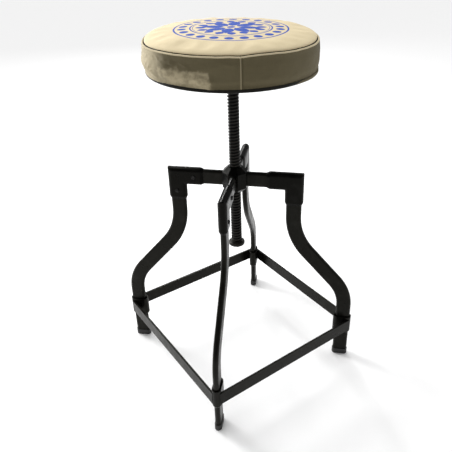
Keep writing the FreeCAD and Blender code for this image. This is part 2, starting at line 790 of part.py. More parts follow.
def make_foam():
    """The foam pad: well crowned on top, its side bowed out a little over the board."""
    under_seam = f"({SEAM} - foam_gap)"
    shoulder = f"(groove_radius - 1.2 * {UNDER_TOP})"
    turned(
        "seat_foam",
        [
            ("0", BOARD_HIGH),
            (f"({BOARD_RADIUS} - foam_gap)", BOARD_HIGH),
            (f"(seam_radius - {UNDER_TOP})", under_seam),
            (shoulder, under_seam),
            (shoulder, GROOVE),
            ("crown_reach", f"({CROWN} - crown_drop - {UNDER_TOP})"),
            ("0", f"({CROWN} - {UNDER_TOP})"),
        ],
        {
            1: ("band_bow", 1),
            4: (f"(shoulder_bow - {UNDER_TOP})", 1),
            5: (CROWN_BOW, 1),
        },
    )


def make_covers():
    """The sewn cover: a crowned top panel, a band turned under the board, and the folded seam on its edge."""
    turned(
        "seat_cover_top",
        [
            ("0", f"({CROWN} - cloth)"),
            ("crown_reach", f"({CROWN} - crown_drop - cloth)"),
            ("(groove_radius - cloth)", GROOVE),
            ("groove_radius", GROOVE),
            ("crown_reach", f"({CROWN} - crown_drop)"),
            ("0", CROWN),
        ],
        {
            0: (CROWN_BOW, -1),
            1: ("(shoulder_bow - cloth)", -1),
            3: ("shoulder_bow", 1),
            4: (CROWN_BOW, 1),
        },
    )
    hem = f"({BOARD_RADIUS} - hem_width)"
    rim = "(seat_floor + pan_rim_height)"
    floor_top = "(seat_floor + pan_wall)"
    edge = f"({CLOTH_RADIUS} - foam_gap)"
    inside = f"({edge} - cloth + foam_gap)"
    top = "(seat_floor + band_height)"
    turned(
        "seat_cover_band",
        [
            (hem, floor_top),
            ("(pan_radius - pan_corner)", floor_top),
            (edge, "(seat_floor + pan_corner)"),
            (edge, rim),
            ("seam_radius", top),
            ("(seam_radius - cloth)", top),
            (inside, rim),
            (inside, BOARD_LOW),
            (hem, BOARD_LOW),
        ],
        {3: ("band_bow", 1), 5: ("band_bow", -1)},
    )
    turned(
        "seat_seam",
        [
            ("(groove_radius + foam_gap)", SEAM),
            ("seam_radius", SEAM),
            ("seam_radius", f"({SEAM} + seam_edge)"),
            ("(groove_radius + foam_gap)", f"({SEAM} + 1.5 * seam_edge)"),
        ],
        {2: ("seam_bow", 1)},
    )


def make_flange():
    """The flange welded to the top of the screw, which bolts under the seat."""
    low = THREAD_HIGH
    body = turned(
        "seat_flange",
        [
            ("spigot_radius", low),
            ("flange_boss_radius", low),
            ("flange_boss_radius", "(seat_floor - flange_thickness)"),
            ("flange_radius", "(seat_floor - flange_thickness)"),
            ("flange_radius", "seat_floor"),
            ("spigot_radius", "seat_floor"),
        ],
    )
    drill(
        body,
        "holes",
        "(seat_bolt_radius + seat_bolt_gap)",
        "(seat_floor - flange_thickness)",
        "flange_thickness",
    )


def make_seat_fasteners():
    """Four hexagon bolts up through the flange and pan, each into a barrel nut let into the board."""
    face = "(seat_floor - flange_thickness)"
    bolts, nuts = [], []
    for number, (x, y) in enumerate(bolt_places(), 1):
        under = f"({face} - seat_bolt_head)"
        head = hexagon(f"seat_bolt_head_{number}", "seat_bolt_head_across", under, face)
        shank = cylinder(
            f"seat_bolt_shank_{number}", "seat_bolt_radius", face, f"({BOARD_HIGH} - nut_flange)"
        )
        bolts.append(boolean("Fuse", f"seat_bolt_{number}", head, shank))
        flange = cylinder(
            f"nut_flange_{number}", "nut_flange_radius", f"({BOARD_HIGH} - nut_flange)", BOARD_HIGH
        )
        barrel = cylinder(
            f"nut_barrel_{number}", "nut_barrel_radius", f"({BOARD_HIGH} - nut_length)", BOARD_HIGH
        )
        whole = boolean("Fuse", f"nut_whole_{number}", flange, barrel)
        bore = cylinder(
            f"nut_bore_{number}",
            "(seat_bolt_radius + weld_gap)",
            f"({BOARD_HIGH} - nut_length)",
            BOARD_HIGH,
        )
        nuts.append(boolean("Cut", f"nut_{number}", whole, bore))
        for thing in (bolts[-1], nuts[-1]):
            tie(thing, {".Placement.Base.x": x, ".Placement.Base.y": y})
    for label, pieces in (("seat_bolts", bolts), ("board_nuts", nuts)):
        group = document.addObject("Part::Compound", label)
        group.Links = pieces
        keep(group, label)


for side, turn in SIDES.items():
    make_arm(side, turn)
    make_elbow(side, turn)
    make_leg(side, turn)
    make_collar(side, turn)
    make_foot_cap(side, turn)
for name, turn in BARS.items():
    make_foot_bar(name, turn)
make_elbow_screws()
make_hub()
make_spindle()
make_stop()
make_flange()
make_pan()
make_board()
make_seat_fasteners()
make_foam()
make_covers()
document.recompute()

for thing in document.Objects:
    if {"Invalid", "Error"} & set(thing.State):
        raise ValueError(f"{thing.Label} failed: {thing.State}")
for thing in sub_parts:
    if thing.Shape.isNull() or not thing.Shape.isValid() or not thing.Shape.Solids:
        raise ValueError(f"{thing.Label} has no sound shape")
os.makedirs("parts", exist_ok=True)
for thing in sub_parts:
    thing.Shape.exportStep(f"parts/{thing.Label}.step")
print(len(sub_parts), "pieces written")
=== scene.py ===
import json
import math
import random

import bpy
from mathutils import Matrix, Vector, noise
from mathutils.bvhtree import BVHTree


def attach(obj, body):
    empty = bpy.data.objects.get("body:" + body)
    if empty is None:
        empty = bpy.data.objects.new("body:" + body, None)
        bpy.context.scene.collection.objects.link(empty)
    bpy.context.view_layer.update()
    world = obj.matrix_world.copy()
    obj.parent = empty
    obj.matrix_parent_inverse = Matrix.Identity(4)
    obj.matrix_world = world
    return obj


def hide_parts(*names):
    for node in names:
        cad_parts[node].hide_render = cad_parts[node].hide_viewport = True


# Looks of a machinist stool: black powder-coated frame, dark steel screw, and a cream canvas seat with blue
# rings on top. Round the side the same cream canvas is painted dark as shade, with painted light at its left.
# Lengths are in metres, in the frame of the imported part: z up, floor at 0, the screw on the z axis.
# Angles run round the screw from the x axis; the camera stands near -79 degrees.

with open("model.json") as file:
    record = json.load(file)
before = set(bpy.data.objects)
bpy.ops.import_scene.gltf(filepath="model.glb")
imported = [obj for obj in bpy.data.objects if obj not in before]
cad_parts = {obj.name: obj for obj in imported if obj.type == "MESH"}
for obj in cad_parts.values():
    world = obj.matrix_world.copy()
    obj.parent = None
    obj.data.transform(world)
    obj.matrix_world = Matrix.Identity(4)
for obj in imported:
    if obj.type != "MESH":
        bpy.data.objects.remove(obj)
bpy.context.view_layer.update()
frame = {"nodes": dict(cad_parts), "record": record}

TAU = 2 * math.pi
UP = Vector((0, 0, 1))

# Sizes of the pan and the board, as in the part
SEAT_FLOOR = 0.752
PAN_RIM = 0.759
CLOTH_RADIUS = 0.1750
BOARD_EDGE = 0.1740
BOARD_TOP = 0.7670

# Sizes of the cushion
SEAM_HEIGHT = 0.8164
SEAM_RADIUS = 0.1770
GROOVE_RADIUS = 0.1730
BAND_RADIUS = 0.1782
CROWN = 0.0178
LIP_START = GROOVE_RADIUS - 0.0002
TOP_EDGE = LIP_START - 0.0008
JOIN = math.radians(-74)
# Bearing of the band's lit left side, where light is painted on.
LIT_SIDE = math.radians(-158)
HEM_REACH = 0.0024
FULL_HANG = 0.0026


def polar(radius, angle, height):
    return Vector((radius * math.cos(angle), radius * math.sin(angle), height))


def smooth(value, low, high):
    """0 below low, 1 above high, an eased ramp between."""
    share = min(1.0, max(0.0, (value - low) / (high - low)))
    return share * share * (3 - 2 * share)


def bell(off, width):
    """1 where off is 0, falling away to almost nothing at twice the width."""
    return math.exp(-((off / width) ** 2))


def plateau(off, width):
    """Like bell, with a flatter top and steeper sides."""
    return math.exp(-((off / width) ** 4))


# Camera, at the photograph's angle

CAMERA = {"azimuth": 10.81, "distance": 1.0925, "height": 1.0310, "pitch": 29.25, "yaw": 2.58, "roll": -0.26}
PICTURE_SIDE = 452
FOCAL_PIXELS = 527.0
CENTRE_X = 256.7
CENTRE_Y = 208.6
SENSOR_WIDTH = 36


def place_camera():
    """A pinhole camera given by its angles, its focal length in pixels and the picture's optical centre."""
    turn, tilt, swing, roll = (math.radians(CAMERA[key]) for key in ("azimuth", "pitch", "yaw", "roll"))
    ahead = Vector((-math.sin(turn), math.cos(turn), 0))
    right = Vector((math.cos(turn), math.sin(turn), 0))
    ahead, right = (
        ahead * math.cos(swing) + right * math.sin(swing),
        right * math.cos(swing) - ahead * math.sin(swing),
    )
    ahead, up = ahead * math.cos(tilt) - UP * math.sin(tilt), ahead * math.sin(tilt) + UP * math.cos(tilt)
    right, up = right * math.cos(roll) + up * math.sin(roll), up * math.cos(roll) - right * math.sin(roll)
    data = bpy.data.cameras.new("camera")
    data.sensor_width = SENSOR_WIDTH
    data.lens = SENSOR_WIDTH * FOCAL_PIXELS / PICTURE_SIDE
    data.shift_x = (PICTURE_SIDE / 2 - CENTRE_X) / PICTURE_SIDE
    data.shift_y = (CENTRE_Y - PICTURE_SIDE / 2) / PICTURE_SIDE
    data.clip_start, data.clip_end = 0.01, 100
    camera = bpy.data.objects.new("camera", data)
    bpy.context.collection.objects.link(camera)
    place = Matrix((right, up, -ahead)).transposed().to_4x4()
    place.translation = (
        CAMERA["distance"] * math.sin(turn),
        -CAMERA["distance"] * math.cos(turn),
        CAMERA["height"],
    )
    camera.matrix_world = place
    bpy.context.scene.camera = camera


# Materials


class Shader:
    """A node material under construction."""

    def __init__(self, name, color, roughness, **settings):
        self.material = bpy.data.materials.new(name)
        self.material.use_nodes = True
        self.tree = self.material.node_tree
        self.bsdf = next(n for n in self.tree.nodes if n.type == "BSDF_PRINCIPLED")
        self.bsdf.inputs["Base Color"].default_value = (*color, 1)
        self.bsdf.inputs["Roughness"].default_value = roughness
        for key, value in settings.items():
            self.bsdf.inputs[key.replace("_", " ")].default_value = value
        self.place = self.node("ShaderNodeTexCoord").outputs["Object"]
        self.normal = None

    def node(self, kind, *inputs, **settings):
        made = self.tree.nodes.new(kind)
        for key, value in settings.items():
            setattr(made, key, value)
        for socket, value in enumerate(inputs):
            self.feed(made.inputs[socket], value)
        return made

    def feed(self, socket, value):
        if value is None:
            return
        if isinstance(value, bpy.types.NodeSocket):
            self.tree.links.new(value, socket)
        else:
            socket.default_value = value

    def math(self, operation, *values):
        return self.node("ShaderNodeMath", *values, operation=operation).outputs[0]

    def plus(self, first, second):
        return self.math("ADD", first, second)

    def minus(self, first, second):
        return self.math("SUBTRACT", first, second)

    def times(self, first, second):
        return self.math("MULTIPLY", first, second)

    def length(self, x, y):
        return self.math("SQRT", self.plus(self.times(x, x), self.times(y, y)))

    def axes(self):
        return self.node("ShaderNodeSeparateXYZ", self.place).outputs

    def ramp(self, value, low, high, out_low=0.0, out_high=1.0):
        """out_low at low, out_high at high, eased between and level beyond."""
        made = self.node("ShaderNodeMapRange", interpolation_type="SMOOTHSTEP")
        names = ("Value", "From Min", "From Max", "To Min", "To Max")
        for name, item in zip(names, (value, low, high, out_low, out_high)):
            self.feed(made.inputs[name], item)
        return made.outputs["Result"]

    def blotches(self, scale, detail=2.0, stretch=None, roughness=0.5):
        """Noise over the object's own space; scale is blotches a metre."""
        place = self.place
        if stretch is not None:
            mapping = self.node("ShaderNodeMapping", place)
            mapping.inputs["Scale"].default_value = stretch
            place = mapping.outputs[0]
        made = self.node("ShaderNodeTexNoise")
        self.feed(made.inputs["Vector"], place)
        for name, value in (("Scale", scale), ("Detail", detail), ("Roughness", roughness)):
            made.inputs[name].default_value = value
        return made.outputs["Fac"]

    def wander(self, scale, reach):
        """Noise about 0, reach wide in all."""
        return self.times(self.minus(self.blotches(scale, detail=4), 0.5), reach)

    def mix(self, share, first, second):
        """The first colour at share 0, the second at share 1."""
        made = self.node("ShaderNodeMix", data_type="RGBA")
        self.feed(made.inputs["Factor"], share)
        for socket, value in ((made.inputs[6], first), (made.inputs[7], second)):
            self.feed(socket, (*value, 1) if isinstance(value, tuple) else value)
        return made.outputs[2]

    def color(self, socket):
        self.feed(self.bsdf.inputs["Base Color"], socket)

    def roughness(self, socket):
        self.feed(self.bsdf.inputs["Roughness"], socket)

    def bump(self, height, distance, strength=1.0):
        """Add relief; distance is the height of the relief in metres."""
        made = self.node("ShaderNodeBump")
        made.inputs["Strength"].default_value = strength
        made.inputs["Distance"].default_value = distance
        self.feed(made.inputs["Height"], height)
        self.feed(made.inputs["Normal"], self.normal)
        self.normal = made.outputs["Normal"]
        self.feed(self.bsdf.inputs["Normal"], self.normal)


def tinted(color, gain, lift=0.0):
    return tuple(channel * gain + lift for channel in color)


TUBE_BLACK = (0.0044, 0.0042, 0.0034)
CAST_BLACK = (0.0020, 0.0019, 0.0017)
WARM_SHINE = (1.0, 0.985, 0.86, 1.0)
DUST = 0.003
EDGE_ROUNDING = 0.0009


def coated_metal(name, color, grain, relief, roughness, shine):
    """Satin black powder coat: fine orange peel, softened edges, slight sheen changes and faint dust."""
    shader = Shader(name, color, roughness, Specular_IOR_Level=shine, Specular_Tint=WARM_SHINE)
    edge = shader.node("ShaderNodeBevel", samples=4)
    edge.inputs["Radius"].default_value = EDGE_ROUNDING
    shader.normal = edge.outputs["Normal"]
    peel = shader.blotches(grain, detail=3)
    haze = shader.blotches(38, detail=4)
    streak = shader.blotches(9, detail=3, stretch=(6, 6, 0.6))
    shader.roughness(shader.ramp(haze, 0.3, 0.7, roughness - 0.05, roughness + 0.08))
    tone = shader.mix(shader.ramp(haze, 0.5, 0.8), color, tinted(color, 2.2, DUST))
    shader.color(shader.mix(shader.ramp(streak, 0.55, 0.8, 0.0, 0.5), tone, tinted(color, 1.9, DUST)))
    shader.bump(peel, relief, 0.45)
    return shader.material


def screw_metal():
    """Dark turned steel: marks round the axis, oily black between the threads, lighter on the crests: partly
    worn to the metal, partly a painted highlight.
    """
    oily, oily_light, bare_and_highlight = (0.0020, 0.0019, 0.0017), (0.0050, 0.0046, 0.0040), (0.024, 0.0228, 0.0198)
    crest_from, crest_to = 0.0118, 0.0126
    shader = Shader("screw_steel", (0.01, 0.0095, 0.009), 0.40, Specular_IOR_Level=0.08)
    x, y, _ = shader.axes()
    radius = shader.length(x, y)
    marks = shader.blotches(60, detail=2, stretch=(1, 1, 70))
    patches = shader.blotches(45, detail=4)
    crest = shader.times(shader.ramp(radius, crest_from, crest_to), shader.ramp(patches, 0.25, 0.6, 0.55, 1.0))
    dark = shader.mix(shader.ramp(patches, 0.35, 0.7), oily, oily_light)
    # The crests' lighter colour is partly wear and partly painted highlight.
    shader.color(shader.mix(crest, dark, bare_and_highlight))
    shader.feed(shader.bsdf.inputs["Metallic"], shader.ramp(crest, 0.0, 1.0, 0.05, 0.55))
    shader.roughness(shader.ramp(marks, 0.3, 0.7, 0.32, 0.50))
    shader.bump(marks, 0.00008, 0.4)
    return shader.material


def fastener_metal():
    """Black oxide, a little worn."""
    black, worn = (0.012, 0.0115, 0.011), (0.06, 0.057, 0.054)
    shader = Shader("black_oxide", (0.035, 0.033, 0.031), 0.34, Metallic=0.7)
    wear = shader.blotches(220, detail=3)
    shader.color(shader.mix(shader.ramp(wear, 0.5, 0.8), black, worn))
    shader.roughness(shader.ramp(wear, 0.3, 0.7, 0.28, 0.45))
    shader.bump(shader.blotches(900, detail=2), 0.00006, 0.4)
    return shader.material


def foot_plastic():
    """Matt moulded black with some dust."""
    black, dusty = (0.01, 0.01, 0.01), (0.035, 0.033, 0.03)
    shader = Shader("foot_plastic", (0.012, 0.012, 0.012), 0.58)
    shader.bump(shader.blotches(1600, detail=3), 0.0001, 0.6)
    dust = shader.blotches(90, detail=4)
    shader.color(shader.mix(shader.ramp(dust, 0.5, 0.8), black, dusty))
    return shader.material


def plywood():
    """Plain plywood: long grain on the faces and thin layers at the edge."""
    dark, light = (0.42, 0.29, 0.17), (0.62, 0.47, 0.30)
    shader = Shader("plywood", (0.55, 0.40, 0.25), 0.6)
    grain = shader.blotches(30, detail=5, stretch=(1, 14, 1))
    layers = shader.blotches(1, detail=0, stretch=(0.01, 0.01, 650))
    shader.color(shader.mix(shader.ramp(grain, 0.3, 0.7), dark, light))
    shader.bump(layers, 0.0002, 0.4)
    return shader.material


# The top's cream is the canvas's own colour. The band colour below is that cream darkened to stand for the
# shade on the side: painted shade. The groove colour is near-black painted shade in the groove.
CREAM, CREAM_LOW = (0.72, 0.61, 0.395), (0.655, 0.55, 0.35)
SHADED_BAND, SHADED_BAND_LOW = (0.130, 0.109, 0.060), (0.104, 0.087, 0.047)
LIP, LIP_LOW = (0.62, 0.53, 0.35), (0.54, 0.46, 0.30)
GROOVE_SHADE, GROOVE_SHADE_LOW = (0.012, 0.010, 0.006), (0.008, 0.0065, 0.004)
# A lighter copy of the band colour: painted light on the band's lit left side, and a painted highlight beside
# the join.
PAINTED_BAND_LIGHT = (0.485, 0.415, 0.272)
INK = (0.013, 0.068, 0.40)
THREAD = 0.00075


def weave(shader, along, across):
    """1 where a thread lies over, 0 where it dips under, half way between threads."""
    first, second = (shader.math("SINE", shader.times(way, TAU / 2 / THREAD)) for way in (along, across))
    return shader.plus(shader.times(shader.times(first, second), 0.5), 0.5)


def painted_side_light(shader, angle, height):
    """How much painted light the band gets: all over at its left side, where light falls, and along its foot
    with a ragged edge, where the upward faces of the wrinkles catch light.
    """
    foot_low, foot_high = 0.7825, 0.7935
    turn = shader.minus(angle, LIT_SIDE)
    near, beyond = shader.math("COSINE", turn), shader.math("SINE", turn)
    foot = shader.ramp(shader.plus(height, shader.wander(34, 0.034)), foot_low, foot_high, 0.78, 0.0)
    foot = shader.times(foot, shader.ramp(shader.plus(near, shader.wander(46, 0.16)), 0.40, 0.45))
    foot = shader.times(foot, shader.ramp(beyond, -0.75, -0.15))
    mottle_low = 0.48
    mottle = shader.ramp(shader.blotches(70, detail=5, roughness=0.62), 0.34, 0.62, mottle_low, 1.0)
    whole = shader.times(shader.ramp(near, 0.79, 0.965), shader.ramp(mottle, mottle_low, 1.0, 0.80, 0.92))
    return shader.math("MAXIMUM", whole, shader.times(foot, mottle))


def join_highlight(shader, angle):
    """A painted highlight: a pale line just left of the upright join's step, where the bulging seam allowance
    catches light.
    """
    left_of_step, half_width, reach = 0.0013, 0.0006, 0.0016
    from_join = shader.times(shader.minus(angle, JOIN), SEAM_RADIUS)
    off = shader.math("ABSOLUTE", shader.plus(from_join, left_of_step))
    return shader.ramp(off, half_width, reach, 0.42, 0.0)


def canvas(name, base, low, around, printed=False):
    """Smooth plain-weave canvas. around lays the weave round the band instead of flat across the top."""
    shader = Shader(name, base, 0.82, Sheen_Weight=0.03, Sheen_Roughness=0.5, Specular_IOR_Level=0.2)
    x, y, z = shader.axes()
    radius = shader.length(x, y)
    angle = shader.math("ARCTAN2", y, x)
    over = weave(shader, shader.times(angle, SEAM_RADIUS), z) if around else weave(shader, x, y)
    stretches = ((1, 1, 30), (12, 12, 1)) if around else ((1, 30, 1), (30, 1, 1))
    slubs = [shader.times(shader.blotches(40, detail=3, stretch=stretch), 0.5) for stretch in stretches]
    tint = shader.plus(*slubs)
    cloud = shader.blotches(11, detail=3)
    tone = shader.mix(shader.ramp(tint, 0.30, 0.72, 0.5, 1.0), low, base)
    tone = shader.mix(shader.ramp(cloud, 0.50, 0.80, 0.0, 0.40), tone, tinted(low, 0.82))
    # Where a thread dips under, the colour is a little darker: painted shade between the threads.
    tone = shader.mix(shader.ramp(over, 0.0, 0.5, 0.12, 0.0), tone, tinted(low, 0.6))
    if around:
        # Painted light: the band is lightened at its lit left side and on the wrinkles low down.
        tone = shader.mix(painted_side_light(shader, angle, z), tone, PAINTED_BAND_LIGHT)
        # A thin painted highlight along the join's raised fold.
        tone = shader.mix(join_highlight(shader, angle), tone, PAINTED_BAND_LIGHT)
    if printed:
        worn = shader.times(ring_print(shader, radius, angle), shader.ramp(tint, 0.25, 0.6, 0.92, 1.0))
        tone = shader.mix(worn, tone, INK)
    shader.color(tone)
    shader.bump(shader.plus(shader.times(over, 0.7), shader.times(tint, 0.5)), 0.00016, 0.6)
    return shader.material


def ring_print(shader, radius, angle):
    """A plain ring pattern in one ink: rings, a row of dots, leaf shapes and an open rosette."""
    soft = 0.00045

    def inside(distance):
        return shader.ramp(distance, -soft, soft, 1.0, 0.0)

    def ring(middle, width):
        off = shader.math("ABSOLUTE", shader.minus(radius, middle))
        return inside(shader.minus(off, width / 2))

    def from_spoke(count, offset=0.0):
        """The angle from the nearest of count spokes."""
        step = TAU / count
        turned = shader.plus(angle, offset + step / 2)
        return shader.minus(shader.math("FLOORED_MODULO", turned, step), step / 2)

    def dots(count, middle, size):
        reach = shader.length(shader.times(from_spoke(count), middle), shader.minus(radius, middle))
        return inside(shader.minus(reach, size))

    def petals(count, low, high, width, offset=0.0):
        """Pointed leaves between two radii."""
        middle, half = (low + high) / 2, (high - low) / 2
        across = shader.math("ABSOLUTE", shader.times(from_spoke(count, offset), radius))
        share = shader.math("DIVIDE", shader.minus(radius, middle), half)
        bulge = shader.minus(1.0, shader.times(share, share))
        return inside(shader.minus(across, shader.times(bulge, width)))

    leaves = 16
    marks = [
        ring(0.1140, 0.0036),
        dots(22, 0.0985, 0.0088),
        ring(0.0820, 0.0030),
        ring(0.0770, 0.0012),
        petals(leaves, 0.050, 0.072, 0.0085, TAU / leaves / 2),
        petals(8, 0.013, 0.060, 0.0125),
        dots(1, 0.0, 0.0085),
    ]
    total = marks[0]
    for mark in marks[1:]:
        total = shader.math("MAXIMUM", total, mark)
    return total


MATERIALS = {
    "frame_steel": coated_metal(
        "frame_steel", TUBE_BLACK, grain=700, relief=0.00014, roughness=0.30, shine=0.11
    ),
    "frame_iron": coated_metal(
        "frame_iron", CAST_BLACK, grain=420, relief=0.00024, roughness=0.29, shine=0.075
    ),
    "screw_steel": screw_metal(),
    "black_fastener": fastener_metal(),
    "foot_plastic": foot_plastic(),
    "plywood": plywood(),
}

# The cushion's cloth by zone, in the order of the material slots
CLOTHS = {
    "top": canvas("printed_canvas", CREAM, CREAM_LOW, around=False, printed=True),
    "lip": canvas("lip_canvas", LIP, LIP_LOW, around=True),
    # The band's cloth takes the darkened band colour: painted shade.
    "band": canvas("canvas", SHADED_BAND, SHADED_BAND_LOW, around=True),
    # The groove's cloth is near-black: painted shade in the recess.
    "groove": canvas("groove_shade_canvas", GROOVE_SHADE, GROOVE_SHADE_LOW, around=False),
}


def dress_frame():
    """Give each node of the frame the material that its slot names."""
    slots = {item["node"]: item["material_slot"] for item in frame["record"]["subparts"]}
    for name, node in frame["nodes"].items():
        if slots.get(name) in MATERIALS:
            for slot in node.material_slots:
                slot.material = MATERIALS[slots[name]]


# Seat cushion


def mesh_object(name, verts, faces, material_of=None, materials=()):
    mesh = bpy.data.meshes.new(name)
    mesh.from_pydata([tuple(v) for v in verts], [], faces)
    for material in materials:
        mesh.materials.append(material)
    if material_of is not None:
        mesh.polygons.foreach_set("material_index", material_of)
    mesh.polygons.foreach_set("use_smooth", [True] * len(mesh.polygons))
    mesh.update()
    made = bpy.data.objects.new(name, mesh)
    bpy.context.collection.objects.link(made)
    return made


def revolve(rows):
    """Vertices of the rows of points, and the faces between them; a row of one point closes the form."""
    verts, starts = [], []
    for row in rows:
        starts.append(len(verts))
        verts.extend(row)

    def corners(number, *places):
        """The vertices at these places of a row, or the only one of a row of one."""
        if len(rows[number]) == 1:
            return (starts[number],)
        return tuple(starts[number] + place for place in places)

    columns = max(len(row) for row in rows)
    faces = []
    for number in range(len(rows) - 1):
        for here in range(columns):
            there = (here + 1) % columns
            faces.append(corners(number, here, there) + corners(number + 1, there, here))
    return verts, faces


def dome(radius):
    """Height of the crown before it swells: nearly flat in the middle, round at the shoulder."""
    share = min(radius / GROOVE_RADIUS, 1.0)
    return SEAM_HEIGHT + CROWN * (1 - share**2.5) ** 0.4


def flank(height):
    """Radius of the side before it swells: a little full above the middle, drawn in at the rim."""
    fullness, drawn_in = 0.0011, 0.0030
    share = (SEAM_HEIGHT - height) / (SEAM_HEIGHT - PAN_RIM)
    belly = BAND_RADIUS + fullness * math.sin(math.pi * min(1.0, share * 1.15))
    return belly - drawn_in * smooth(share, 0.72, 1.0)


def plain_pad():
    """The pad before it swells: domed top, full sides, closed underneath."""
    columns, foot = 120, 0.7550
    dome_radii = (0, 0.02, 0.05, 0.08, 0.11, 0.13, 0.145, 0.155, 0.163, 0.168, 0.1705)
    profile = [(radius, dome(radius)) for radius in dome_radii]
    profile += [(0.1750, SEAM_HEIGHT - 0.001), (0.1777, SEAM_HEIGHT - 0.004)]
    profile += [(flank(height), height) for height in (0.800, 0.790, 0.780, 0.770, 0.764)]
    profile += [(0.1755, foot + 0.0035), (0.1740, foot), (0.10, foot), (0, foot)]
    angles = [TAU * column / columns for column in range(columns)]
    rows = [
        [polar(radius, angle, height) for angle in angles] if radius else [Vector((0, 0, height))]
        for radius, height in profile
    ]
    return mesh_object("pad_form", *revolve(rows))


def apply(pad, modifier):
    """Make a modifier's shape the pad's own."""
    bpy.context.view_layer.objects.active = pad
    bpy.ops.object.modifier_apply(modifier=modifier.name)


def swell(pad):
    """Blow the pad up like stuffed canvas with a cloth simulation, and limit how far each point may go."""
    cap, held_below, frames = 0.0042, 0.7625, 20
    remesh = pad.modifiers.new("remesh", "REMESH")
    remesh.mode, remesh.voxel_size = "VOXEL", 0.006
    apply(pad, remesh)
    before = [v.co.copy() for v in pad.data.vertices]
    held = pad.vertex_groups.new(name="held")
    held.add([v.index for v in pad.data.vertices if v.co.z < held_below], 1.0, "REPLACE")
    cloth = pad.modifiers.new("cloth", "CLOTH")
    settings = cloth.settings
    settings.quality = 6
    settings.mass = 0.4
    settings.tension_stiffness = settings.compression_stiffness = 20
    settings.shear_stiffness = 12
    settings.bending_stiffness = 2
    settings.use_pressure = True
    settings.uniform_pressure_force = 4
    settings.vertex_group_mass = "held"
    settings.effector_weights.gravity = 0
    cloth.point_cache.frame_start, cloth.point_cache.frame_end = 1, frames
    scene = bpy.context.scene
    for step in range(1, frames + 1):
        scene.frame_set(step)
    apply(pad, cloth)
    for vertex, start in zip(pad.data.vertices, before):
        move = vertex.co - start
        if move.length > cap:
            vertex.co = start + move * (cap / move.length)
    scene.frame_set(1)


def relax(pad):
    """Even out the steps that the voxels leave."""
    soften = pad.modifiers.new("soften", "SMOOTH")
    soften.factor, soften.iterations = 0.5, 12
    apply(pad, soften)


# Folds placed one by one: bearing and height of one end, bearing and height of the other, width and depth
PLACED_FOLDS = (
    (-99.5, 0.784, -98.2, 0.765, 0.0016, 0.0017),
    (-97.0, 0.786, -96.4, 0.766, 0.0030, -0.0010),
    (-118, 0.798, -84, 0.782, 0.0095, -0.0016),
    (-122, 0.797, -106, 0.783, 0.0042, -0.0022),
    (-104, 0.789, -93, 0.797, 0.0050, 0.0018),
    (-100, 0.778, -88, 0.771, 0.0040, 0.0013),
    (-88, 0.806, -78, 0.801, 0.0034, 0.0012),
)


def creases():
    """The band's soft folds: angle and height of one end, angle and height of the other, width and depth."""
    draw = random.Random(11)
    folds = []

    def scatter(count, bearings, heights, lean, rises, widths, depths):
        for _ in range(count):
            start = math.radians(draw.uniform(*bearings))
            height = draw.uniform(*heights)
            stop = start + lean()
            rise, width, depth = (draw.uniform(*span) for span in (rises, widths, depths))
            folds.append((start, height, stop, height + rise, width, depth))

    # Slanting folds up from the rim at the left, short ones elsewhere, and some down from the seam at the left
    scatter(
        30, bearings=(-185, -103), heights=(0.760, 0.776),
        lean=lambda: draw.choice((-1, 1, 1)) * draw.uniform(0.04, 0.20),
        rises=(0.008, 0.026), widths=(0.0016, 0.0040), depths=(0.0005, 0.0014),
    )
    scatter(
        34, bearings=(-95, 170), heights=(0.761, 0.770), lean=lambda: draw.uniform(-0.05, 0.05),
        rises=(0.006, 0.016), widths=(0.002, 0.004), depths=(0.0002, 0.0006),
    )
    scatter(
        14, bearings=(-180, -100), heights=(SEAM_HEIGHT - 0.008, SEAM_HEIGHT - 0.014),
        lean=lambda: draw.uniform(-0.2, 0.2),
        rises=(-0.008, -0.02), widths=(0.002, 0.004), depths=(0.0004, 0.0010),
    )
    for start, low, stop, high, width, depth in PLACED_FOLDS:
        folds.append((math.radians(start), low, math.radians(stop), high, width, depth))
    return folds


def fold_height(folds, angle, height):
    """How far the band stands out at a point because of the folds near it."""
    total = 0.0
    for start, low, stop, high, width, depth in folds:
        turn = (angle - (start + stop) / 2 + math.pi) % TAU - math.pi
        if abs(turn) > abs(stop - start) / 2 + 4 * width / SEAM_RADIUS:
            continue
        off_x, off_z = turn * SEAM_RADIUS, height - (low + high) / 2
        half_x, half_z = (stop - start) / 2 * SEAM_RADIUS, (high - low) / 2
        long = math.hypot(half_x, half_z)
        along = (off_x * half_x + off_z * half_z) / long
        across = (off_x * half_z - off_z * half_x) / long
        past_end = max(0.0, abs(along) - long * 0.5) / (long * 0.5)
        total += depth * bell(across, width) * math.exp(-(past_end**2) * 2)
    return total


def degrees_from(angle, bearing):
    """How many degrees an angle is past a bearing in degrees, -180 to 180."""
    return (math.degrees(angle) - bearing + 180) % 360 - 180


def bulges(angle, places):
    """Sum of soft bulges along the seam, each with its bearing and width in degrees and its height."""
    return sum(height * bell(degrees_from(angle, bearing), width) for bearing, width, height in places)


def pull(angle):
    """How the seam wanders in and out, with flats where the canvas is pulled tight."""
    flats = bulges(angle, (
        (-74, 9, 0.0012), (-36, 7, 0.0008), (12, 10, 0.0010),
        (95, 8, 0.0007), (172, 9, 0.0006), (-128, 12, 0.0008),
    ))
    ripple = 0.0004 * math.sin(3 * angle + 1.1) + 0.0003 * math.sin(7 * angle)
    return ripple - flats - 0.0013 * math.cos(angle)


def drop(angle):
    """How the seam rises and dips."""
    return 0.0003 * math.sin(5 * angle + 2) + bulges(angle, (
        (-150, 26, -0.0034), (-57, 13, 0.0020), (-12, 13, -0.0016), (-74, 4, -0.0012), (60, 30, 0.0010)
    ))


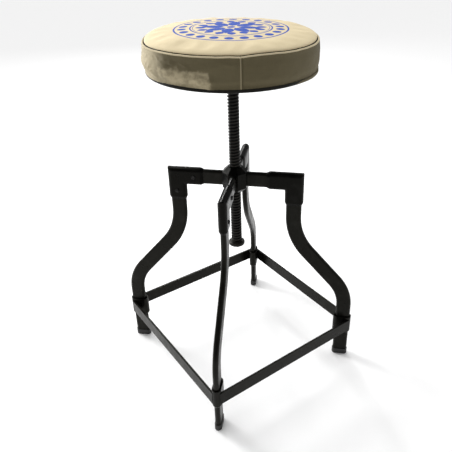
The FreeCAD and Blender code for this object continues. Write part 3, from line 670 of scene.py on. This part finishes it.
def join_step(angle):
    """The upright join: the left-hand piece laps over in a raised fold that ends in a step."""
    lap_height, ditch_depth = 0.0016, 0.0013
    off = ((angle - JOIN + math.pi) % TAU - math.pi) * SEAM_RADIUS
    raised = smooth(off, -0.0052, -0.0026) * (1 - smooth(off, -0.0003, 0.0005))
    return lap_height * raised - ditch_depth * bell(off - 0.0012, 0.0011)


def gathers(angle, seed):
    """Small puckers that the stitches pull into the canvas beside the seam."""
    around = polar(1, angle, seed)
    return 0.6 * noise.noise(around * 16) + 0.4 * noise.noise(around * 37)


def tucked(angle):
    """How far the band hangs over the rim of the pan at the right-hand side, from 0 to 1."""
    return plateau(degrees_from(angle, -8), 42)


def hang(angle):
    """How far the hem comes down over the rim at the left and the front, in metres."""
    left, front = (-140, 26, 0.0024), (-88, 30, 0.0017)
    return max(bulges(angle, [left]), bulges(angle, [front]))


def overhang(angle):
    """How far the hem stands out over the rim, from 0 to 1."""
    return max(tucked(angle), hang(angle) / FULL_HANG)


def slump(angle, height):
    """At the left the band is full low down and drawn in above."""
    shape = 0.0022 * bell(height - 0.779, 0.011) - 0.0018 * bell(height - 0.801, 0.009)
    return plateau(degrees_from(angle, -128), 30) * shape


def waves(found):
    """How far each value is from the mean of its row, limited in depth."""
    depth = 0.0012
    mean = sum(found) / len(found)
    return [max(-depth, min(depth, value - mean)) for value in found]


def side_waves(tree, angles, height):
    """The waves of the swollen pad's side, cast inwards at a height."""
    def cast(angle):
        hit = tree.ray_cast(polar(0.3, angle, height), polar(-1, angle, 0))[0]
        return math.hypot(hit.x, hit.y) if hit is not None else SEAM_RADIUS
    return waves([cast(angle) for angle in angles])


def top_waves(tree, angles, radius):
    """The waves of the swollen pad's top, cast downwards at a radius."""
    def cast(angle):
        hit = tree.ray_cast(polar(radius, angle, 1.0), -UP)[0]
        return hit.z if hit is not None else SEAM_HEIGHT
    return waves([cast(angle) for angle in angles])


# The functions below give the cushion's rows of points, from the middle of the top outwards and down, each
# with the zone of cloth that ends there.


def top_rows(angles, tree):
    """The domed top panel, out to its edge at the groove."""
    count, unevenness, pucker = 40, 0.0006, 0.0005
    yield "top", [Vector((0, 0, dome(0)))]
    for number in range(1, count + 1):
        share = 1 - (1 - number / count) ** 1.8
        row = []
        for angle, wave in zip(angles, top_waves(tree, angles, TOP_EDGE * share)):
            radius = (TOP_EDGE + pull(angle) * smooth(share, 0.3, 1.0)) * share
            height = dome(TOP_EDGE * share) + wave * (1 - smooth(share, 0.88, 0.97))
            height += unevenness * noise.noise(polar(radius, angle, 0) * 22) * (1 - smooth(share, 0.9, 1))
            height += pucker * gathers(angle, 5) * smooth(share, 0.86, 0.95) * (1 - smooth(share, 0.97, 1.0))
            row.append(polar(radius, angle, height + drop(angle) * smooth(share, 0.75, 1.0)))
        yield "top", row


# Rows of the groove, out from the top panel's edge and up from the seam
GROOVE_SHAPE = (
    ("top", 0.0004, 0.0014), ("groove", 0.0006, 0.0006), ("groove", 0.0009, -0.0016),
    ("groove", 0.0016, -0.0026),
)


def groove_rows(angles):
    """The groove between the top panel and the lip, its cloth painted near-black as shade."""
    for zone, out, up in GROOVE_SHAPE:
        radii = [TOP_EDGE + out + pull(angle) for angle in angles]
        heights = [SEAM_HEIGHT + up + drop(angle) + 0.0004 * gathers(angle, 2) for angle in angles]
        yield zone, [polar(*point) for point in zip(radii, angles, heights)]


# Rows of the lip, out from its start and up from the seam
LIP_SHAPE = (
    ("groove", 0.0013, -0.0016), ("lip", 0.0017, -0.0003), ("lip", 0.0021, 0.0003), ("lip", 0.0027, 0.0005),
    ("lip", 0.0034, 0.0003), ("lip", 0.0041, -0.0003), ("lip", 0.0047, -0.0012), ("lip", 0.0050, -0.0021),
)


def lip_rows(angles):
    """The folded seam: a rounded lip that rises from the groove and turns down outside."""
    for zone, out, up in LIP_SHAPE:
        row = []
        for angle in angles:
            radius = LIP_START + out + pull(angle) + 0.0003 * gathers(angle, 3) * smooth(out, 0.001, 0.004)
            height = SEAM_HEIGHT + up + drop(angle) + 0.0005 * gathers(angle, 0)
            row.append(polar(radius + join_step(angle) * 0.7 * smooth(out, 0.0, 0.004), angle, height))
        yield zone, row


def band_rows(angles, tree):
    """The side band, from under the lip down over the rim of the pan."""
    count, unevenness, pucker = 34, 0.0008, 0.0005
    _, lip_out, lip_low = LIP_SHAPE[-1]
    start, stop = SEAM_HEIGHT + lip_low - 0.0012, PAN_RIM + 0.0010
    folds = creases()
    for number in range(count):
        share = number / (count - 1)
        level = start + (stop - start) * share
        row = []
        for angle, wave in zip(angles, side_waves(tree, angles, level)):
            height = level + drop(angle) * (1 - share)
            under_lip = LIP_START + lip_out + 0.0001 + pull(angle)
            full = flank(level) + pull(angle) * (1 - 0.6 * share) + wave
            radius = under_lip + (full - under_lip) * smooth(share, 0.0, 0.30)
            place = polar(4, angle, height * 26)
            radius += unevenness * noise.noise(place * 1.7) * smooth(share, 0, 0.1)
            radius += pucker * gathers(angle, 1) * (1 - smooth(share, 0.03, 0.22))
            radius += slump(angle, height) + join_step(angle)
            folded = fold_height(folds, angle, height)
            radius += folded * smooth(share, 0.0, 0.12) * (1 - smooth(share, 0.93, 1.0))
            hem = CLOTH_RADIUS + 0.0004 + HEM_REACH * overhang(angle)
            radius += (hem - radius) * smooth(share, 0.84, 1.0) * (0.85 - 0.55 * tucked(angle))
            fall = 0.0062 * tucked(angle) + hang(angle) + 0.0006 * gathers(angle, 8)
            row.append(polar(radius, angle, height - fall * smooth(share, 0.70, 1.0)))
        yield "band", row


def hem_rows(angles):
    """The hidden end of the cloth: in over the rim, down beside the board, and up and across it."""
    inside, beside = CLOTH_RADIUS - 0.0002, BOARD_EDGE + 0.0001
    bottom, lid = SEAT_FLOOR + 0.0034, BOARD_TOP + 0.0003
    outs = [overhang(angle) for angle in angles]
    lows = [0.0066 * tucked(angle) + hang(angle) * 1.08 for angle in angles]
    for radius, height in (
        (CLOTH_RADIUS - 0.0001, PAN_RIM + 0.0004), (inside, PAN_RIM - 0.0010), (inside, bottom),
        (beside, bottom), (beside, lid), (BOARD_EDGE - 0.02, lid), (BOARD_EDGE - 0.10, lid),
    ):
        if height <= PAN_RIM:
            yield "band", [polar(radius, angle, height) for angle in angles]
            continue
        # A row above the rim follows the hem down, and a second one turns back up inside it. Over the board,
        # out of sight, this only makes small folds.
        outer, inner = [], []
        for angle, out, low in zip(angles, outs, lows):
            outer.append(polar(radius + HEM_REACH * out, angle, height - low))
            inner.append(polar(radius + 0.0019 * out, angle, height + 0.0004))
        yield "band", outer
        yield "band", inner
    yield "band", [Vector((0, 0, lid))]


def seat_angles():
    """Columns of points round the seat, closer together at the upright join."""
    columns = 420
    beside_join = (-0.0052, -0.0040, -0.0030, -0.0022, -0.0012, -0.0004, 0.0004, 0.0012, 0.0022)
    angles = [TAU * column / columns for column in range(columns)]
    angles += [JOIN + off / SEAM_RADIUS for off in beside_join]
    return sorted({round(angle % TAU, 5) for angle in angles})


def make_cushion():
    """The padded seat: domed top, a groove and a folded lip at the seam, and a band tucked into the pan."""
    pad = plain_pad()
    swell(pad)
    relax(pad)
    tree = BVHTree.FromObject(pad, bpy.context.evaluated_depsgraph_get())
    bpy.data.objects.remove(pad)

    angles = seat_angles()
    zoned = [*top_rows(angles, tree), *groove_rows(angles), *lip_rows(angles), *band_rows(angles, tree)]
    zoned += hem_rows(angles)
    rows = [row for _, row in zoned]
    order = list(CLOTHS)
    material_of = []
    for zone, _ in zoned[1:]:
        material_of += [order.index(zone)] * len(angles)
    cushion = mesh_object("seat_cushion", *revolve(rows), material_of, CLOTHS.values())
    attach(cushion, "seat")
    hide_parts("seat_foam", "seat_cover_top", "seat_cover_band", "seat_seam")


# Stage and light


def make_floor():
    reach = 30
    corners = [(-reach, -reach, 0), (reach, -reach, 0), (reach, reach, 0), (-reach, reach, 0)]
    mesh = bpy.data.meshes.new("floor")
    mesh.from_pydata(corners, [], [(0, 1, 2, 3)])
    floor = bpy.data.objects.new("floor", mesh)
    bpy.context.collection.objects.link(floor)
    shader = Shader("floor", (0.93, 0.93, 0.93), 0.9, Specular_IOR_Level=0.2)
    mesh.materials.append(shader.material)


def soft_light(name, power, size, place, target):
    """A round lamp that faces its target."""
    data = bpy.data.lights.new(name, "AREA")
    data.shape, data.size, data.energy = "DISK", size, power
    light = bpy.data.objects.new(name, data)
    light.location = place
    light.rotation_mode = "QUATERNION"
    light.rotation_quaternion = (Vector(target) - Vector(place)).to_track_quat("-Z", "Y")
    bpy.context.collection.objects.link(light)


def broad_light(strength, angle, direction):
    """A very soft far-off light, the same all over the floor. direction is where it comes from."""
    data = bpy.data.lights.new("broad", "SUN")
    data.energy, data.angle = strength, math.radians(angle)
    light = bpy.data.objects.new("broad", data)
    light.rotation_mode = "QUATERNION"
    light.rotation_quaternion = Vector(direction).to_track_quat("Z", "Y")
    bpy.context.collection.objects.link(light)


def make_world(strength):
    """An even white sky."""
    world = bpy.data.worlds.new("studio")
    bpy.context.scene.world = world
    world.use_nodes = True
    inputs = world.node_tree.nodes["Background"].inputs
    inputs["Color"].default_value = (1, 1, 1, 1)
    inputs["Strength"].default_value = strength


place_camera()
dress_frame()
make_cushion()
make_floor()
make_world(strength=0.24)
broad_light(strength=2.45, angle=70, direction=(-0.22, 0.30, 1.0))
soft_light("overhead", power=3.5, size=0.9, place=(-0.75, 0.15, 1.75), target=(-0.02, 0, 0.82))
soft_light("left_window", power=52, size=0.8, place=(-2.1, 1.0, 1.05), target=(0, 0, 0.78))
soft_light("right_window", power=9, size=0.9, place=(2.1, 1.1, 0.9), target=(0, 0, 0.5))
soft_light("back_window", power=22, size=0.45, place=(-1.12, 2.9, 1.86), target=(-0.15, 0, 0.52))
bpy.context.scene.view_settings.view_transform = "Standard"
